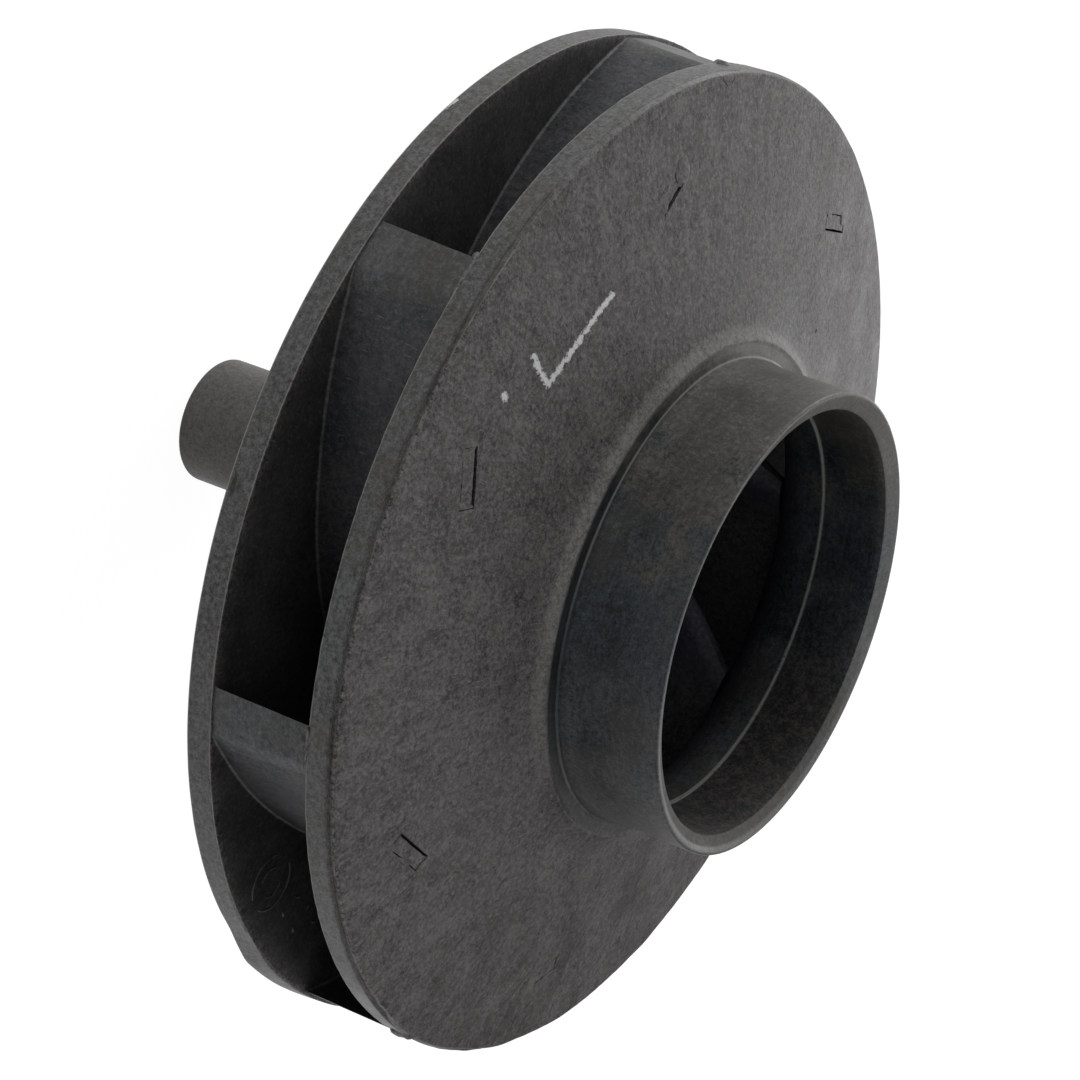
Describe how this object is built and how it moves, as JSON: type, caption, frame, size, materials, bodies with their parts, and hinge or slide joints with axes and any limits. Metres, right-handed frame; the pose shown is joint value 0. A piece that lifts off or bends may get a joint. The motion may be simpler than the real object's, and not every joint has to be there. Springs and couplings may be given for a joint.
{
  "type": "pump impeller",
  "caption": "Closed centrifugal impeller with backward-curved vanes between two shrouds, a suction-eye collar and a long threaded hub.",
  "frame": {"origin": "centre of the hub's end face, where the motor shaft's shoulder bears", "axes": "+Z along the shaft from the hub's end towards the suction eye, +X through the outer edge of one vane's tip"},
  "size_m": [0.1432, 0.1432, 0.0981],
  "materials": {
    "moulded_plastic": "glass-fibre-filled black, faintly speckled",
    "insert_brass": "tapped"
  },
  "bodies": {
    "root": {"rear_shroud": "moulded_plastic", "front_shroud": "moulded_plastic", "threaded_insert": "insert_brass"}
  },
  "joints": []
}
